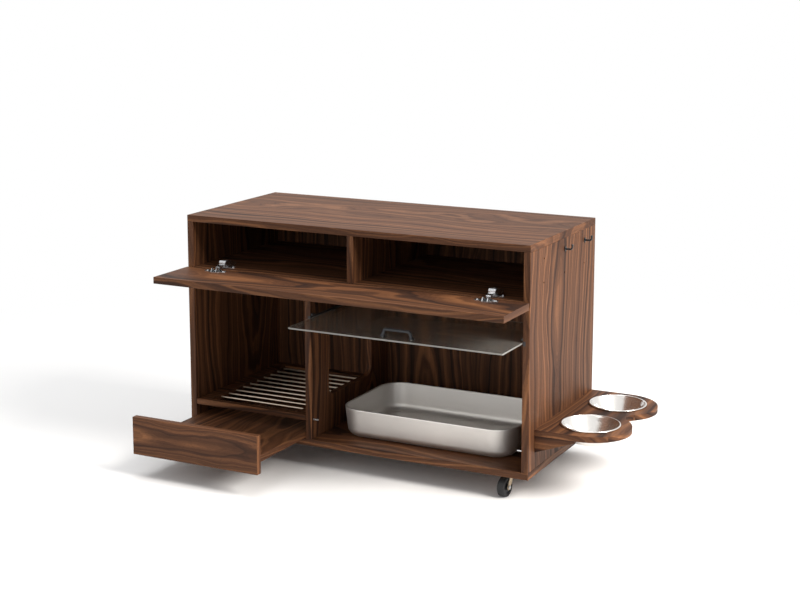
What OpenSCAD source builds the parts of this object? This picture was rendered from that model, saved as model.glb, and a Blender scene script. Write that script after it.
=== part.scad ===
// Cat litter cabinet on castors. A slatted floor with a catch drawer under it fills the left bay,
// a cut-out in the divider leads to the litter tray in the right bay, an acrylic door slides in over
// the tray, and a drop-down flap covers two shelf compartments. A feeder board with two bowls hangs
// on the right side. Cabinet axes: x from the outer left face, y from the front edges to the back,
// z from the underside of the bottom board. The pose is flap down, door slid in, drawer pulled out.

/* [Case] */
// Width over the side panels
cab_w = 1000; // [860:2:1300]
// Depth from the front edges to the rear edges
cab_d = 455; // [410:1:600]
// Height of the case without its castors
cab_h = 594; // [540:1:760]
// Thickness of the case boards
board_t = 18; // [15:0.5:22]
// Thickness of the back panel
back_t = 12; // [6:0.5:16]
// How far the back panel sits in from the rear edges
back_inset = 3; // [0:0.5:10]
// Clear height of the two shelf compartments
upper_h = 123; // [100:1:180]
// Clear width of the left lower bay
left_w = 346; // [280:1:420]

/* [Cat cut-out] */
// Distance of the cut-out from the front edges
pass_y = 96; // [70:1:140]
// Width of the cut-out
pass_w = 244; // [180:1:280]
// Height of its sill over the underside
pass_sill = 115; // [95:1:160]
// Wood left between the cut-out and the door track
pass_head = 13; // [8:0.5:60]
// Corner radius of the cut-out
pass_r = 25; // [20:1:80]

/* [Slatted floor] */
// Height of the frame's underside
grate_z = 68; // [50:1:80]
// Thickness of the frame
grate_t = 15; // [12:0.5:20]
// Width of the frame's side rails
grate_side = 36; // [20:1:60]
// Width of the frame's front rail
grate_front = 20; // [12:0.5:30]
// Number of slats
slat_count = 11; // [6:1:14]
// Radius of a slat, a round steel bar
slat_r = 3; // [2:0.25:5]
// Depth of the bores that the slat ends lie in
slat_seat = 10; // [6:0.5:20]
// Distance of the first slat from the front rail
slat_first = 13; // [8:1:24]
// Distance of the last slat from the rear rail
slat_last = 8; // [8:1:24]
// Width of the frame's rear rail
grate_rear = 28; // [18:1:60]

/* [Catch drawer] */
// Height of the drawer front
drawer_h = 101; // [86:1:130]
// Width of the drawer front
drawer_w = 380; // [360:1:390]
// Length of the catch board behind the front
drawer_len = 428; // [300:1:429]
// How far the drawer stands open
drawer_out = 250; // [100:1:300]
// Thickness of the nylon glides under the board
glide_t = 1.2; // [0.8:0.1:2]
// Radius of a glide
glide_r = 9; // [5:0.5:15]

/* [Flap] */
// Gap behind the closed flap
flap_back_gap = 3; // [2:0.1:5]
// Step down from the top of the case to the closed flap
flap_reveal = 2.5; // [0:0.5:6]
// Distance of each hinge from the end of the flap
hinge_x = 105; // [60:1:200]
// Radius of the hinge cups
cup_r = 17.5; // [13:0.5:20]
// Distance from the flap's rear edge to the cup centre
cup_y = 20.5; // [20:0.5:24]
// Width of the hinge arms
arm_w = 12; // [9:0.5:14]

/* [Acrylic door] */
// Height of the door's pivot axis
door_z = 347.5; // [325:0.5:370]
// Thickness of the acrylic
door_t = 4; // [3:0.5:5]
// How far the door stands out at the front
door_out = 120; // [60:1:150]
// Gap between each end of the door and the case
door_gap = 2; // [1.5:0.1:4]
// Radius of the rollers in the tracks
roller_r = 4.2; // [3.5:0.1:5]
// Radius of the pivot pins
pivot_r = 2; // [1.5:0.1:2.5]
// Distance of the handle from the door's free edge
handle_edge = 30; // [14:1:50]
// Spacing of the handle's screws
handle_pitch = 80; // [64:1:128]
// Height of the handle
handle_h = 22; // [18:0.5:35]
// Inward lean of the handle's legs in degrees
handle_lean = 15; // [0:1:20]
// Radius of the handle bar
handle_r = 4; // [3:0.1:6]
// Height of the door's stop pins
stop_z = 71; // [40:1:140]
// Radius of the stop pins
stop_r = 2.2; // [1.5:0.1:3]
// Length of a stop pin that shows
stop_len = 15; // [8:0.5:20]

/* [Litter tray] */
// Mean clear space between the tray and the walls of its bay
tray_side = 50; // [30:1:90]
// Depth of the tray over its rim
tray_d = 306; // [220:2:340]
// Height of the tray
tray_h = 80; // [50:1:130]
// Outward lean of the walls from floor to rim
tray_flare = 5; // [3:1:30]
// Corner radius at the rim
tray_r = 64; // [60:1:100]
// Sheet thickness of the tray
tray_t = 1.2; // [0.8:0.1:4]
// Radius of the rolled rim
tray_bead = 2.5; // [2:0.1:6]
// Radius between floor and walls
tray_fillet = 23; // [6:1:26]
// Distance of the rim from the front edges
tray_y = 56; // [35:1:90]
// How far the tray stands to the left of the middle of its bay
tray_left = 4.5; // [0:0.5:15]

/* [Feeder] */
// Height of the feeder board's top
feeder_z = 121; // [100:1:260]
// Thickness of the feeder board
feeder_t = 15; // [12:0.5:22]
// Distance of the bowl centres from the side panel
feeder_reach = 111; // [95:1:150]
// Radius of the lobe round each bowl
lobe_r = 104; // [90:1:125]
// Distance between the bowls
bowl_pitch = 206; // [200:1:240]
// Radius of the notch between the lobes
notch_r = 36; // [10:1:60]
// Distance of the front bowl from the front edges
bowl_y = 142; // [130:1:180]
// Radius of the bowl rims
bowl_r = 76; // [60:1:85]
// Depth of the bowls
bowl_h = 46; // [30:1:60]
// Radius of the bowl floor
bowl_floor_r = 45; // [25:1:55]
// Radius of the rolled bowl rim
bowl_bead = 2.2; // [1.2:0.1:4]
// Sheet thickness of a bowl
bowl_t = 1.2; // [0.8:0.1:3]
// Height of the brackets under the board
gusset_h = 45; // [30:1:90]
// Length of the brackets under the board
gusset_l = 105; // [70:1:130]
// Thickness of the brackets
gusset_t = 15; // [12:0.5:22]

/* [Hooks] */
// Distance of the first column of holes from the front edges
hook_y = 89; // [50:1:120]
// Distance between the columns
hook_pitch_y = 142; // [80:1:160]
// Distance of the upper row of holes from the top of the case
hook_top = 47; // [24:1:110]
// Distance between the rows
hook_pitch_z = 61; // [40:1:100]
// Radius of the holes
hook_hole_r = 2.5; // [1.5:0.1:4]
// Depth of the holes
hook_hole_l = 12; // [8:0.5:14]
// How far a hook stands out
hook_reach = 20; // [12:1:40]
// Radius of the hook wire
hook_r = 2.4; // [1.6:0.1:3.5]

/* [Castors] */
// Height of a castor from floor to case
castor_h = 60; // [58:1:80]
// Radius of the wheels
wheel_r = 25; // [20:0.5:27]
// Width of the wheels
wheel_w = 20; // [14:0.5:26]
// Offset of the axle from the swivel axis
trail = 18; // [14:0.5:24]
// Width of the square top plate
plate_w = 42; // [38:1:60]
// Thickness of the top plate
plate_t = 2.5; // [2:0.1:4]
// Distance of the swivel axes from the sides
castor_x = 72; // [50:1:120]
// Distance of the swivel axes from the front and rear edges
castor_y = 46; // [40:1:100]
// Radius of the axles
axle_r = 3; // [2:0.1:4]

/* [Joinery] */
// Radius of the dowels
dowel_r = 4; // [3:0.1:5]
// Length of a dowel
dowel_l = 30; // [26:0.5:36]
// Radius of the cam locks
cam_r = 7.5; // [6:0.1:8]
// Radius of the screw shanks
screw_r = 2.5; // [1.5:0.1:3]

/* [Hidden] */
$fn = 96;
eps = 0.01;
run_gap = 0.3;                                     // between pieces that move past each other
fit_gap = 0.05;                                    // between a pin and its hole

walnut = "#5a3a28";
walnut_edge = "#6b4733";
pale_wood = "#d8b98c";
steel = "#b9bcc0";
black = "#202022";

inner_d = cab_d - back_inset - back_t;             // from the front edges to the back panel
shelf_z = cab_h - board_t - upper_h - board_t;     // underside of the full-width shelf
shelf_top = shelf_z + board_t;
top_z = cab_h - board_t;                           // underside of the top board
divider_x = board_t + left_w;
bay_x = divider_x + board_t;                       // left wall of the right bay
bay_w = cab_w - board_t - bay_x;
mid_x = (cab_w - board_t) / 2;                     // left face of the upper divider

track_wall = 1.5;                                  // walls of the plastic track
track_h = 2 * (roller_r + run_gap);                // clear height of the track
track_depth = 6.5;                                 // clear depth of the track
track_seat_h = track_h + 2 * track_wall;
track_seat_d = track_depth + track_wall;
pivot_closed = track_wall + run_gap + roller_r;    // pivot axis with the door shut
door_foot = 3;                                     // gap under the shut door
door_len = door_z - board_t - door_foot;           // free edge to pivot axis
door_travel = door_len - door_out - pivot_closed;
pivot_y = pivot_closed + door_travel;              // pivot axis in the pose shown
door_w = bay_w - 2 * door_gap;
bracket_t = 7;
bracket_l = 26;
bracket_w = 18;
bracket_end = 0.5;                                 // bracket past the end of the acrylic
pivot_in = 14;                                     // part of a pivot pin in its bracket
stop_y = pivot_closed + door_t / 2 + 0.5 + stop_r;

pass_top = door_z - track_seat_h / 2 - pass_head;
pass_h = pass_top - pass_sill;

flap_rise = board_t - 0.5;                         // rear edge, closed to open
flap_slack = flap_back_gap - run_gap;
flap_shift = flap_rise + 2 * flap_slack - sqrt(8 * flap_slack * (flap_rise + flap_slack));
flap_open_gap = flap_back_gap + flap_shift;        // least gap that lets the flap swing clear
flap_len = cab_h - flap_reveal - shelf_z;
flap_top = shelf_z + flap_rise;                    // inner face of the open flap
flap_axis_y = -flap_back_gap - (flap_rise + flap_shift) / 2;
flap_axis_z = shelf_z + (flap_rise - flap_shift) / 2;
cup_depth = 13;
cup_wall = 0.8;
flange_l = 64;
flange_w = 16;
flange_t = 1.2;
link_t = 0.7;
link_sheet = 1.7;
hinge_pin_r = 1.1;
neck_w = 7;
axis_u = -flap_open_gap - flap_axis_y;             // hinge axis from the flap's rear edge
axis_w = flap_axis_z - flap_top;                   // and from its inner face
cup_floor_y = cup_wall - cup_depth - flap_back_gap;  // floor of the cups with the flap shut
nose_y = cup_floor_y + link_t + run_gap;
knuckle_r = flap_axis_y - cup_floor_y - run_gap;

grate_gap = 1;                                     // around the lift-out floor
grate_w = left_w - 2 * grate_gap;
grate_d = inner_d - grate_gap;
grate_x = board_t + grate_gap;
slat_room = grate_d - grate_front - grate_rear;
slat_pitch = (slat_room - slat_first - slat_last) / (slat_count - 1);
slat_z = grate_z + grate_t / 2;
frame_pin_r = 2.5;

drawer_gap = 1;                                    // behind the shut drawer front
drawer_face = drawer_out + drawer_gap + board_t;   // front face ahead of the front edges
catch_z = board_t + glide_t + run_gap;
catch_w = left_w - 2;

tray_w = bay_w - 2 * tray_side;
tray_x = bay_x + bay_w / 2 - tray_left;
tray_mid_y = tray_y + tray_d / 2;
tray_z = board_t + run_gap;

feeder_x = cab_w + feeder_reach;
bowls_y = [bowl_y, bowl_y + bowl_pitch];
bowl_hole_r = bowl_r - 5;
notch_x = sqrt(pow(lobe_r + notch_r, 2) - pow(bowl_pitch / 2, 2));
web = (lobe_r + notch_r / 2) / (lobe_r + notch_r); // part of the way from a bowl to the notch centre
web_x = notch_x * web;
web_y = bowl_pitch / 2 * web;
notch_bite = 0.1;                                  // how far the notch cuts into the lobes
gusset_in = 4;                                     // brackets in from the board's ends
feeder_y0 = bowl_y - lobe_r;
feeder_y1 = bowl_y + bowl_pitch + lobe_r;
brackets_y = [feeder_y0 + gusset_in, feeder_y1 - gusset_in - gusset_t];

hook_z = cab_h - hook_top;
hook_bend = 6;                                     // bend radius of the wire
hook_rose_r = 6.5;
hook_rose_t = 2.5;
hook_tip = 5;                                      // upright end of the wire
hook_ball = 0.6;                                   // how far the end's ball stands out
hook_holes = [for (i = [0:2], j = [0:1]) [hook_y + i * hook_pitch_y, hook_z - j * hook_pitch_z]];
hooks_at = [for (i = [1:2]) [hook_y + i * hook_pitch_y, hook_z]];

wheel_z = -castor_h + wheel_r;
// turn of each castor about its swivel axis, 0 trails to the front
castors = [["fl", castor_x, castor_y, 38], ["fr", cab_w - castor_x, castor_y, -5],
           ["rl", castor_x, cab_d - castor_y, 160], ["rr", cab_w - castor_x, cab_d - castor_y, 205]];
fork_t = 2;
fork_in = wheel_w / 2 + 0.8;                       // swivel plane to the inside of a cheek
fork_cap_r = 17;
fork_cap_t = 6;

// the middle of the object's outline on the floor
origin_x = (feeder_x + lobe_r) / 2;
origin_y = (cab_d - drawer_face) / 2;

module placed() {
    translate([-origin_x, -origin_y, castor_h]) children();
}

module rounded(w, d, r) {
    translate([r, 0]) square([w - 2 * r, d]);
    translate([0, r]) square([w, d - 2 * r]);
    for (x = [r, w - r], y = [r, d - r]) translate([x, y]) circle(r);
}

// a bar along +x, +y or +z from its start point
module rod(p, r, l, dir) {
    translate(p) rotate(dir == "x" ? [0, 90, 0] : dir == "y" ? [-90, 0, 0] : [0, 0, 0])
        cylinder(r = r, h = l);
}

// ---- joinery -----------------------------------------------------------------------------------

dowel_in = 11;                                     // part of a dowel in the face of a board
joint_y = [50, inner_d - 60];
// upright dowels: x, height of the face, 1 when the face is on top of the drilled board
upright = [[board_t / 2, board_t, 1], [divider_x + board_t / 2, board_t, 1],
           [cab_w - board_t / 2, board_t, 1], [divider_x + board_t / 2, shelf_z, -1],
           [mid_x + board_t / 2, shelf_top, 1], [board_t / 2, top_z, -1],
           [mid_x + board_t / 2, top_z, -1], [cab_w - board_t / 2, top_z, -1]];

module dowel_set(grow) {
    for (u = upright, y = joint_y)
        rod([u[0], y, u[1] - (u[2] > 0 ? dowel_in : dowel_l - dowel_in) - grow],
            dowel_r + grow, dowel_l + 2 * grow, "z");
    for (y = joint_y) {
        rod([board_t - dowel_in - grow, y, shelf_z + board_t / 2],
            dowel_r + grow, dowel_l + 2 * grow, "x");
        rod([cab_w - board_t + dowel_in - dowel_l - grow, y, shelf_z + board_t / 2],
            dowel_r + grow, dowel_l + 2 * grow, "x");
    }
}

cam_t = 12.5;
cam_in = 34;                                       // cam centre from the joint
cam_y = [for (y = joint_y) y + 32];

module cam_set(grow) {
    for (y = cam_y) {
        for (x = [board_t + cam_in, cab_w - board_t - cam_in])
            rod([x, y, shelf_z], cam_r + grow, cam_t + grow, "z");
        for (z = [board_t + cam_in, shelf_z - cam_in])
            rod([divider_x, y, z], cam_r + grow, cam_t + grow, "x");
    }
}

screw_head_r = 5;
screw_head_t = 3;
case_screw_l = 40;
case_screws_y = [24, inner_d - 24];

module case_screw_set(grow) {
    for (x = [board_t / 2, divider_x + board_t / 2, cab_w - board_t / 2], y = case_screws_y) {
        rod([x, y, -eps], screw_head_r + grow, screw_head_t + eps, "z");
        rod([x, y, 0], screw_r + grow, case_screw_l + grow, "z");
    }
}

feeder_screw_l = 45;
feeder_screws_at = concat(
    [for (y = [bowl_y - 50, bowl_y + bowl_pitch / 2, bowl_y + bowl_pitch + 50])
        [y, feeder_z - feeder_t / 2]],
    [for (y = brackets_y) [y + gusset_t / 2, feeder_z - feeder_t - gusset_h / 2]]);

module feeder_screw_set(grow) {
    for (p = feeder_screws_at) {
        rod([cab_w - board_t - eps, p[0], p[1]], screw_head_r + grow, screw_head_t + eps, "x");
        rod([cab_w - board_t, p[0], p[1]], screw_r + grow, feeder_screw_l + grow, "x");
    }
}

module joinery() {
    dowel_set(fit_gap);
    cam_set(fit_gap);
    case_screw_set(fit_gap);
}

module dowels() {
    color(pale_wood) dowel_set(0);
}

module cam_locks() {
    color(steel) difference() {
        cam_set(0);
        for (y = cam_y) {
            for (x = [board_t + cam_in, cab_w - board_t - cam_in])
                translate([x - 4, y - 0.8, shelf_z - eps]) cube([8, 1.6, 2.5]);
            for (z = [board_t + cam_in, shelf_z - cam_in])
                translate([divider_x - eps, y - 4, z - 0.8]) cube([2.5, 8, 1.6]);
        }
    }
}

module case_screws() {
    color(steel) difference() {
        case_screw_set(0);
        translate([0, 0, -2 * eps]) cube([cab_w, cab_d, 2 * eps]);
        for (x = [board_t / 2, divider_x + board_t / 2, cab_w - board_t / 2], y = case_screws_y)
            translate([x, y, -eps]) cylinder(r = 2, h = 2, $fn = 6);
    }
}

module feeder_screws() {
    color(steel) difference() {
        feeder_screw_set(0);
        for (p = feeder_screws_at)
            rod([cab_w - board_t - 2 * eps, p[0], p[1]], 2, 2, "x", $fn = 6);
    }
}

// ---- case boards -------------------------------------------------------------------------------

module top_board() {
    color(walnut) difference() {
        translate([0, 0, top_z]) cube([cab_w, cab_d, board_t]);
        joinery();
    }
}

module bottom_board() {
    color(walnut) difference() {
        cube([cab_w, cab_d, board_t]);
        joinery();
    }
}

// the groove that the door track is let into; side is 1 on the right side panel
module track_seat(side) {
    translate([side > 0 ? cab_w - board_t - eps : bay_x - track_seat_d, -eps, door_z - track_seat_h / 2])
        cube([track_seat_d + eps, pivot_y + roller_r + run_gap + track_wall + eps, track_seat_h]);
}

module stop_pin_set(grow) {
    rod([bay_x - dowel_in, stop_y, stop_z], stop_r + grow, dowel_in + stop_len, "x");
    rod([cab_w - board_t - stop_len, stop_y, stop_z], stop_r + grow, dowel_in + stop_len, "x");
}

module frame_pin_set(grow) {
    for (y = [60, grate_d - 60]) {
        rod([board_t - dowel_in, y, grate_z - frame_pin_r - run_gap / 3],
            frame_pin_r + grow, dowel_in + 9, "x");
        rod([divider_x - 9, y, grate_z - frame_pin_r - run_gap / 3],
            frame_pin_r + grow, dowel_in + 9, "x");
    }
}

module left_side() {
    color(walnut) difference() {
        translate([0, 0, board_t]) cube([board_t, cab_d, top_z - board_t]);
        joinery();
        frame_pin_set(fit_gap);
    }
}

module right_side() {
    color(walnut) difference() {
        translate([cab_w - board_t, 0, board_t]) cube([board_t, cab_d, top_z - board_t]);
        joinery();
        track_seat(1);
        stop_pin_set(fit_gap);
        feeder_screw_set(fit_gap);
        for (h = hook_holes)
            rod([cab_w - hook_hole_l, h[0], h[1]], hook_hole_r, hook_hole_l + 1, "x");
    }
}

module back_panel() {
    color(walnut) translate([board_t, inner_d, board_t])
        cube([cab_w - 2 * board_t, back_t, top_z - board_t]);
}

module cat_cut_out() {
    translate([divider_x - 1, pass_y, pass_sill]) rotate([90, 0, 90])
        linear_extrude(board_t + 2) rounded(pass_w, pass_h, pass_r);
}

module lower_divider() {
    color(walnut) difference() {
        translate([divider_x, 0, board_t]) cube([board_t, inner_d, shelf_z - board_t]);
        joinery();
        cat_cut_out();
        track_seat(-1);
        stop_pin_set(fit_gap);
        frame_pin_set(fit_gap);
    }
}

module upper_shelf() {
    color(walnut) difference() {
        translate([board_t, 0, shelf_z]) cube([cab_w - 2 * board_t, inner_d, board_t]);
        joinery();
    }
}

module upper_divider() {
    color(walnut) difference() {
        translate([mid_x, 0, shelf_top]) cube([board_t, inner_d, upper_h]);
        joinery();
    }
}

// ---- slatted floor -----------------------------------------------------------------------------

module slat_frame() {
    color(walnut_edge) difference() {
        translate([grate_x, 0, grate_z]) cube([grate_w, grate_d, grate_t]);
        translate([grate_x + grate_side, grate_front, grate_z - 1])
            cube([grate_w - 2 * grate_side, slat_room, grate_t + 2]);
        slat_set(fit_gap);
    }
}

// round bars across the window, their ends in blind bores of the side rails
module slat_set(grow) {
    for (i = [0:slat_count - 1])
        rod([grate_x + grate_side - slat_seat - grow,
             grate_front + slat_first + i * slat_pitch, slat_z],
            slat_r + grow, grate_w - 2 * grate_side + 2 * slat_seat + 2 * grow, "x");
}

module slats() {
    color(steel) slat_set(0);
}

module frame_pins() {
    color(steel) frame_pin_set(0);
}

// ---- acrylic door ------------------------------------------------------------------------------

// one track in the side panel; its front end carries a guide that stands over the door
module door_track() {
    length = pivot_y + roller_r + run_gap + track_wall;
    difference() {
        union() {
            translate([0, 0, -track_seat_h / 2]) cube([track_seat_d, length, track_seat_h]);
            translate([-6, 2, track_h / 2 + 2]) cube([6, 14, 6]);
            translate([-1, 2, track_h / 2 + 0.5]) cube([2.2, 14, track_wall - 0.5]);
            translate([-1, 2, track_h / 2 + 0.5]) cube([1, 14, track_wall + 0.5]);
        }
        translate([-1, track_wall, -track_h / 2])
            cube([track_depth + 1, length - 2 * track_wall, track_h]);
        translate([-6, 2 - eps, track_h / 2 + 5]) rotate([0, -45, 0]) cube([5, 15, 5]);
    }
}

module door_tracks() {
    color(black) {
        translate([cab_w - board_t, 0, door_z]) door_track();
        translate([bay_x, 0, door_z]) mirror([1, 0, 0]) door_track();
    }
}

module stop_pins() {
    color(steel) stop_pin_set(0);
}

// rollers with the pivot pins moulded on, which reach out of the tracks into the door's brackets
module door_rollers() {
    roller_w = track_depth - 2 * run_gap;
    color(black)
        for (side = [-1, 1])
            translate([side > 0 ? cab_w - board_t : bay_x, pivot_y, door_z])
                mirror([side > 0 ? 0 : 1, 0, 0]) {
                    rod([run_gap, 0, 0], roller_r, roller_w, "x");
                    rod([-door_gap - pivot_in, 0, 0], pivot_r, door_gap + pivot_in + run_gap + 1, "x");
                }
}

module handle_bores(r) {
    for (s = [-1, 1])
        rod([bay_x + bay_w / 2 + s * handle_pitch / 2, pivot_y - door_len + handle_edge,
             door_z - door_t], r, 2 * door_t, "z");
}

module acrylic_door() {
    color([0.85, 0.92, 0.95, 0.35]) difference() {
        translate([bay_x + door_gap, pivot_y - door_len, door_z - door_t / 2])
            linear_extrude(door_t) {
                translate([0, 4]) square([door_w, door_len - bracket_t / 2 - 4]);
                translate([4, 0]) square([door_w - 8, 5]);
                for (x = [4, door_w - 4]) translate([x, 4]) circle(4);
            }
        handle_bores(2.1);
    }
}

// a clamp on each rear corner of the acrylic, with the barrel that the pivot pin turns in
module pivot_brackets() {
    color(black)
        for (side = [-1, 1]) {
            edge = side > 0 ? cab_w - board_t - door_gap : bay_x + door_gap;
            translate([edge, pivot_y, door_z]) mirror([side > 0 ? 0 : 1, 0, 0]) difference() {
                union() {
                    rod([-bracket_w, 0, 0], bracket_t / 2, bracket_w + bracket_end, "x");
                    translate([-bracket_w, -bracket_l, -bracket_t / 2])
                        cube([bracket_w + bracket_end, bracket_l, bracket_t]);
                }
                translate([-bracket_w - 1, -bracket_l - 1, -door_t / 2])
                    cube([bracket_w + 1, bracket_l + 1 - bracket_t / 2, door_t]);
                rod([-pivot_in - fit_gap, 0, 0], pivot_r + fit_gap, pivot_in + bracket_end + 1, "x");
            }
        }
}

module door_handle() {
    foot = handle_r * 1.15;
    bend = 7;
    lap = 0.4;                                     // of the straight rods in the bends
    span = handle_pitch / 2;
    top = handle_h - handle_r;
    leg_l = (top - bend * (1 - sin(handle_lean))) / cos(handle_lean);
    bend_x = span - leg_l * sin(handle_lean) - bend * cos(handle_lean);
    color("#2b2c2f")
        translate([bay_x + bay_w / 2, pivot_y - door_len + handle_edge, door_z + door_t / 2]) {
            for (s = [-1, 1]) mirror([s > 0 ? 0 : 1, 0, 0]) difference() {
                union() {
                    translate([span, 0, 0]) cylinder(r1 = foot + 2.5, r2 = foot, h = 4.5);
                    translate([span, 0, 0]) rotate([0, -handle_lean, 0])
                        translate([0, 0, 1.8]) cylinder(r = handle_r, h = leg_l - 1.8 + lap);
                    translate([bend_x, 0, top - bend]) rotate([90, 0, 0]) rotate([0, 0, handle_lean])
                        rotate_extrude(angle = 90 - handle_lean) translate([bend, 0]) circle(handle_r + 0.05);
                }
                translate([span, 0, -1]) cylinder(r = 2, h = 6.5);
            }
            rod([-bend_x - lap, 0, top], handle_r, 2 * (bend_x + lap), "x");
        }
}

module handle_screws() {
    color(steel)
        for (s = [-1, 1])
            translate([bay_x + bay_w / 2 + s * handle_pitch / 2, pivot_y - door_len + handle_edge, door_z]) {
                translate([0, 0, -door_t / 2 - 2]) cylinder(r1 = 3, r2 = 4.2, h = 2);
                translate([0, 0, -door_t / 2]) cylinder(r = 1.95, h = door_t + 5);
            }
}

// ---- flap and its hinges -----------------------------------------------------------------------

module at_flap_hinges() {
    for (x = [hinge_x, cab_w - hinge_x]) translate([x, 0, 0]) children();
}

module flap_panel() {
    color(walnut) difference() {
        translate([0, -flap_open_gap - flap_len, flap_top - board_t]) cube([cab_w, flap_len, board_t]);
        at_flap_hinges() translate([0, -flap_open_gap - cup_y, flap_top - cup_depth - 0.2])
            cylinder(r = cup_r, h = cup_depth + 1);
    }
}

module hinge_cups() {
    color(steel) at_flap_hinges() translate([0, -flap_open_gap - cup_y, flap_top]) difference() {
        union() {
            linear_extrude(flange_t) {
                translate([-flange_l / 2, -flange_w / 2]) rounded(flange_l, flange_w, 5);
                circle(cup_r + 0.5);
            }
            translate([0, 0, -cup_depth]) cylinder(r = cup_r - 0.1, h = cup_depth + flange_t);
        }
        translate([0, 0, -cup_depth + cup_wall]) cylinder(r = cup_r - 1.3, h = cup_depth + 4);
        for (x = [-1, 1]) translate([x * flange_l * 0.38, 0, -1]) cylinder(r = 2, h = 3);
    }
}

link_end = 28;                                     // far end of the link's floor from the rear edge
link_foot = 14;                                    // length of that floor

// A stamped link in each cup: lugs that hold the arm's pin, and raised cheeks on both sides of the arm.
// Outlines are (distance from the flap's rear edge, height over its inner face).
module hinge_links() {
    floor_w = cup_wall - cup_depth;
    lug_x = neck_w / 2 + 0.4;
    cheek_x = arm_w / 2 + run_gap;
    cheek = [[12, floor_w], [12, -4], [17, 2.2], [19.2, 2.2], [21.5, 9], [27, 9], [31.5, 1.5], [31.5, floor_w]];
    color(steel) at_flap_hinges() translate([0, -flap_open_gap, flap_top]) {
        translate([-cheek_x - link_sheet, -link_end, floor_w])
            cube([2 * (cheek_x + link_sheet), link_foot, link_t]);
        for (s = [-1, 1]) mirror([s > 0 ? 0 : 1, 0, 0]) {
            translate([cheek_x, 0, 0]) upright_sheet(link_sheet) polygon([for (p = cheek) [-p[0], p[1]]]);
            translate([lug_x, -link_end + link_foot - 1, floor_w])
                cube([link_sheet, link_end - link_foot + 1 - axis_u, link_t]);
            translate([lug_x, 0, 0]) upright_sheet(link_sheet) difference() {
                union() {
                    translate([-axis_u, axis_w]) circle(hinge_pin_r + 1.2);
                    translate([-axis_u - 2, floor_w]) square([4, axis_w - floor_w]);
                }
                translate([-axis_u, axis_w]) circle(hinge_pin_r + fit_gap);
            }
        }
    }
}

// a sheet standing across x, drawn as (y, z)
module upright_sheet(t) {
    rotate([90, 0, 90]) linear_extrude(t) children();
}

arm_back = 60;                                     // rear end of the arm behind the front edges
plate_front = 10;

// the arm's side view: y, height over the shelf
arm_outline = [[nose_y, 3], [nose_y, 8.2], [nose_y + 4, 11.2], [0, 12.6], [14, 11.6], [30, 9.6],
               [arm_back - 4, 8.8], [arm_back, 6.5], [arm_back, 3]];

arm_body_w = 19;
arm_body = 7;                                      // the broad body starts behind the shut cheeks
body_outline = [[arm_body, 3], [arm_body, 17], [arm_body + 4, 22], [26, 21], [arm_back - 12, 17],
                [arm_back, 12], [arm_back, 3]];

// cranked arms: each dips into its cup and carries the pin that the flap turns on
module hinge_arms() {
    axis_h = flap_axis_z - shelf_top;
    color(steel) at_flap_hinges() translate([0, 0, shelf_top]) difference() {
        union() {
            translate([-arm_w / 2, 0, 0]) upright_sheet(arm_w) polygon(arm_outline);
            translate([-arm_body_w / 2, 0, 0]) upright_sheet(arm_body_w) polygon(body_outline);
            translate([-neck_w / 2, 0, 0]) upright_sheet(neck_w) {
                translate([nose_y, axis_h]) square([3.2, 5 - axis_h]);
                translate([flap_axis_y, axis_h]) circle(knuckle_r);
            }
            rod([-neck_w / 2 - link_sheet - 0.4, flap_axis_y, axis_h], hinge_pin_r,
                neck_w + 2 * link_sheet + 0.8, "x");
        }
        for (y = [24, 48]) translate([0, y, 9]) cylinder(r = 2.6, h = 20);
    }
}

// winged mounting plates, screwed to the shelf on both sides of the arms
module hinge_plates() {
    wing = 26;
    color(steel) at_flap_hinges() translate([0, 0, shelf_top]) difference() {
        union() {
            translate([-arm_body_w / 2 + 1, plate_front, 0])
                cube([arm_body_w - 2, arm_back - plate_front - 4, 3]);
            translate([-wing, 24, 0]) linear_extrude(2.2) rounded(2 * wing, 17, 7);
        }
        for (x = [-1, 1]) translate([x * (wing - 7), 32.5, -1]) cylinder(r = 2.2, h = 5);
    }
}

// ---- drawer ------------------------------------------------------------------------------------

module drawer_front() {
    color(walnut) translate([0, -drawer_face, 0]) cube([drawer_w, board_t, drawer_h]);
}

module catch_board() {
    color(walnut_edge) translate([board_t + (left_w - catch_w) / 2, board_t - drawer_face, catch_z])
        cube([catch_w, drawer_len, board_t]);
}

glide_side = 40;                                   // glide centres from the sides of the bay
glide_rear = 30;                                   // and from the rear end of the catch board
glide_pitch = 120;

module drawer_glides() {
    far = board_t - drawer_face + drawer_len - glide_rear;
    color("#e8e6e0")
        for (x = [board_t + glide_side, divider_x - glide_side], y = [far - glide_pitch, far])
            translate([x, y, catch_z - glide_t]) cylinder(r = glide_r, h = glide_t);
}

// ---- litter tray -------------------------------------------------------------------------------

// a wall profile carried round a rounded rectangle; the profile's x counts out from the corner centres
module swept(w, d, r) {
    for (k = [0:3]) {
        across = k % 2 == 0 ? w : d;
        along = k % 2 == 0 ? d : w;
        rotate([0, 0, 90 * k]) {
            translate([across / 2 - r, along / 2 - r, 0]) rotate_extrude(angle = 90) children();
            translate([across / 2 - r, along / 2 - r, 0]) rotate([90, 0, 0])
                linear_extrude(along - 2 * r) children();
        }
    }
}

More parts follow.
